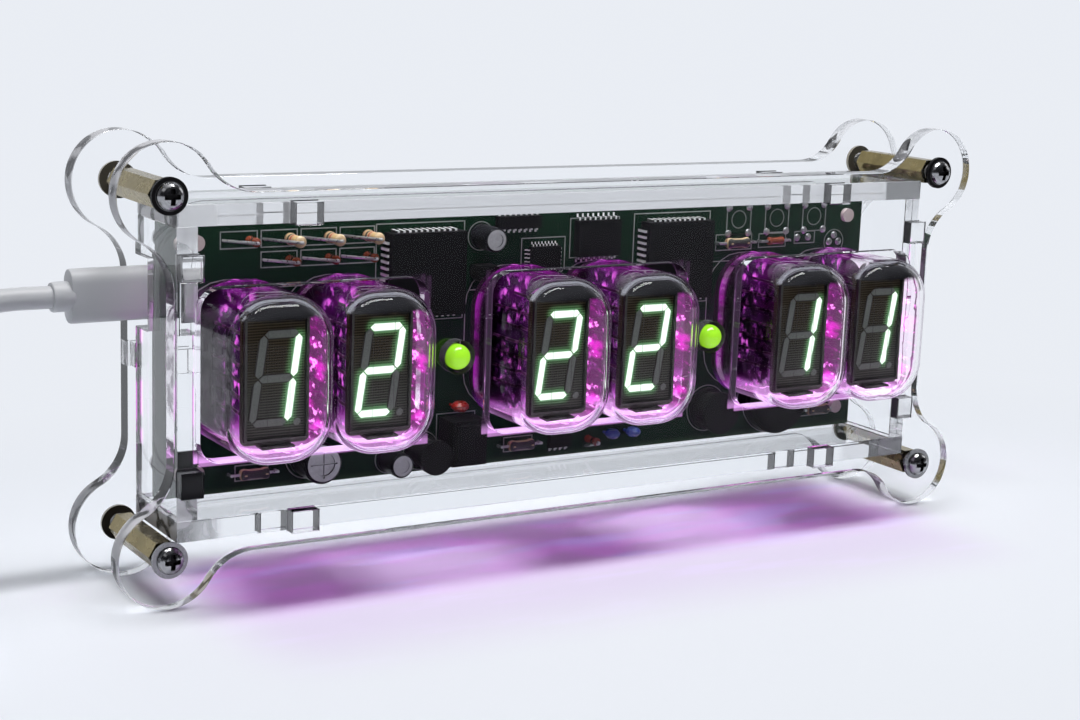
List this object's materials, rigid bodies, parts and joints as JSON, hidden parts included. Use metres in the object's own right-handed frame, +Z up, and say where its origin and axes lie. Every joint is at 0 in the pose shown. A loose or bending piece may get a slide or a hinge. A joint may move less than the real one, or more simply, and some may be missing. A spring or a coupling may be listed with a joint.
{
  "type": "vacuum fluorescent desk clock",
  "caption": "Desk clock with glass vacuum fluorescent tubes in a bolted clear acrylic case, with an exposed circuit board, push buttons and a plug-in white power lead.",
  "frame": {"origin": "on the table under the middle of the clock, midway between its front domes and its rear screw heads", "axes": "+X to the viewer's right along the row of tubes, +Y from the display to the back, +Z up"},
  "size_m": [0.2933, 0.0628, 0.085],
  "materials": {
    "clear_sheet": "polished clear acrylic sheet with grey laser-cut edges",
    "tube_glass": "thin clear glass, lit magenta from below",
    "display_ceramic": "dark olive ceramic plate behind a fine grid",
    "standoff_brass": "turned hexagonal brass",
    "screw_chrome": "bright plated steel",
    "board_green": "dark green solder mask",
    "post_nylon": "off-white nylon",
    "bright_wire": "tinned wire",
    "grid_steel": "grey pressed steel",
    "lit_phosphor": "glowing green-white phosphor",
    "dark_phosphor": "grey unlit phosphor",
    "chip_black": "moulded black epoxy with tinned leads",
    "capacitor_sleeve": "dark shrink sleeve with an aluminium top",
    "ferrite": "dark ferrite with a wound waist",
    "disc_ceramic": "dipped ceramic discs, red and blue",
    "resistor_beige": "beige lacquer with colour bands and tinned wires",
    "diode_glass": "red-brown glass with a dark band",
    "buzzer_plastic": "black moulded plastic",
    "colon_epoxy": "glowing yellow-green epoxy",
    "lamp_white": "white lamp housing with a clear cup",
    "sensor_orange": "coated light-sensitive disc",
    "socket_steel": "bright folded steel",
    "button_plastic": "black moulded plastic",
    "lead_white": "soft white moulded vinyl",
    "tie_plastic": "dark coated wire tie"
  },
  "bodies": {
    "case": {"front_plate": "clear_sheet", "rear_plate": "clear_sheet", "top_panel": "clear_sheet", "bottom_panel": "clear_sheet", "left_panel": "clear_sheet", "right_panel": "clear_sheet", "case_standoffs": "standoff_brass", "case_screws": "screw_chrome", "circuit_board": "board_green", "board_posts": "post_nylon", "board_screws": "screw_chrome", "bulb_1": "tube_glass", "bulb_2": "tube_glass", "bulb_3": "tube_glass", "bulb_4": "tube_glass", "bulb_5": "tube_glass", "bulb_6": "tube_glass", "display_plate_1": "display_ceramic", "display_plate_2": "display_ceramic", "display_plate_3": "display_ceramic", "display_plate_4": "display_ceramic", "display_plate_5": "display_ceramic", "display_plate_6": "display_ceramic", "tube_bases": "tube_glass", "tube_pins": "bright_wire", "grid_frames": "grid_steel", "filaments": "grid_steel", "getters": "grid_steel", "lit_segments": "lit_phosphor", "unlit_segments": "dark_phosphor", "driver_chip_left": "chip_black", "driver_chip_right": "chip_black", "clock_chip": "chip_black", "controller_chip": "chip_black", "edge_chips": "chip_black", "vented_capacitor": "capacitor_sleeve", "small_capacitors": "capacitor_sleeve", "inductors": "ferrite", "converter_block": "chip_black", "ceramic_capacitors": "disc_ceramic", "resistors": "resistor_beige", "diodes": "diode_glass", "transistors": "chip_black", "buzzer": "buzzer_plastic", "colon_lights": "colon_epoxy", "backlight_lamps": "lamp_white", "light_sensor": "sensor_orange", "power_socket": "socket_steel", "switch_bodies": "button_plastic"},
    "button_1": {"button_1": "button_plastic"},
    "button_2": {"button_2": "button_plastic"},
    "button_3": {"button_3": "button_plastic"},
    "lead": {"plug_shell": "socket_steel", "plug_grip": "lead_white", "lead_cable": "lead_white", "lead_coil": "lead_white", "coil_tie": "tie_plastic", "supply_grip": "lead_white", "supply_shell": "socket_steel"}
  },
  "joints": [
    {"name": "button_1_press", "type": "slide", "parent": "case", "child": "button_1", "axis": [0, -1, 0], "range_m": [0, 0.0003], "stiffness_N_per_m": 300},
    {"name": "button_2_press", "type": "slide", "parent": "case", "child": "button_2", "axis": [0, -1, 0], "range_m": [0, 0.0003], "stiffness_N_per_m": 300},
    {"name": "button_3_press", "type": "slide", "parent": "case", "child": "button_3", "axis": [0, -1, 0], "range_m": [0, 0.0003], "stiffness_N_per_m": 300},
    {"name": "plug_pull", "type": "slide", "parent": "case", "child": "lead", "axis": [-1, 0, 0], "range_m": [0, 0.006]}
  ]
}
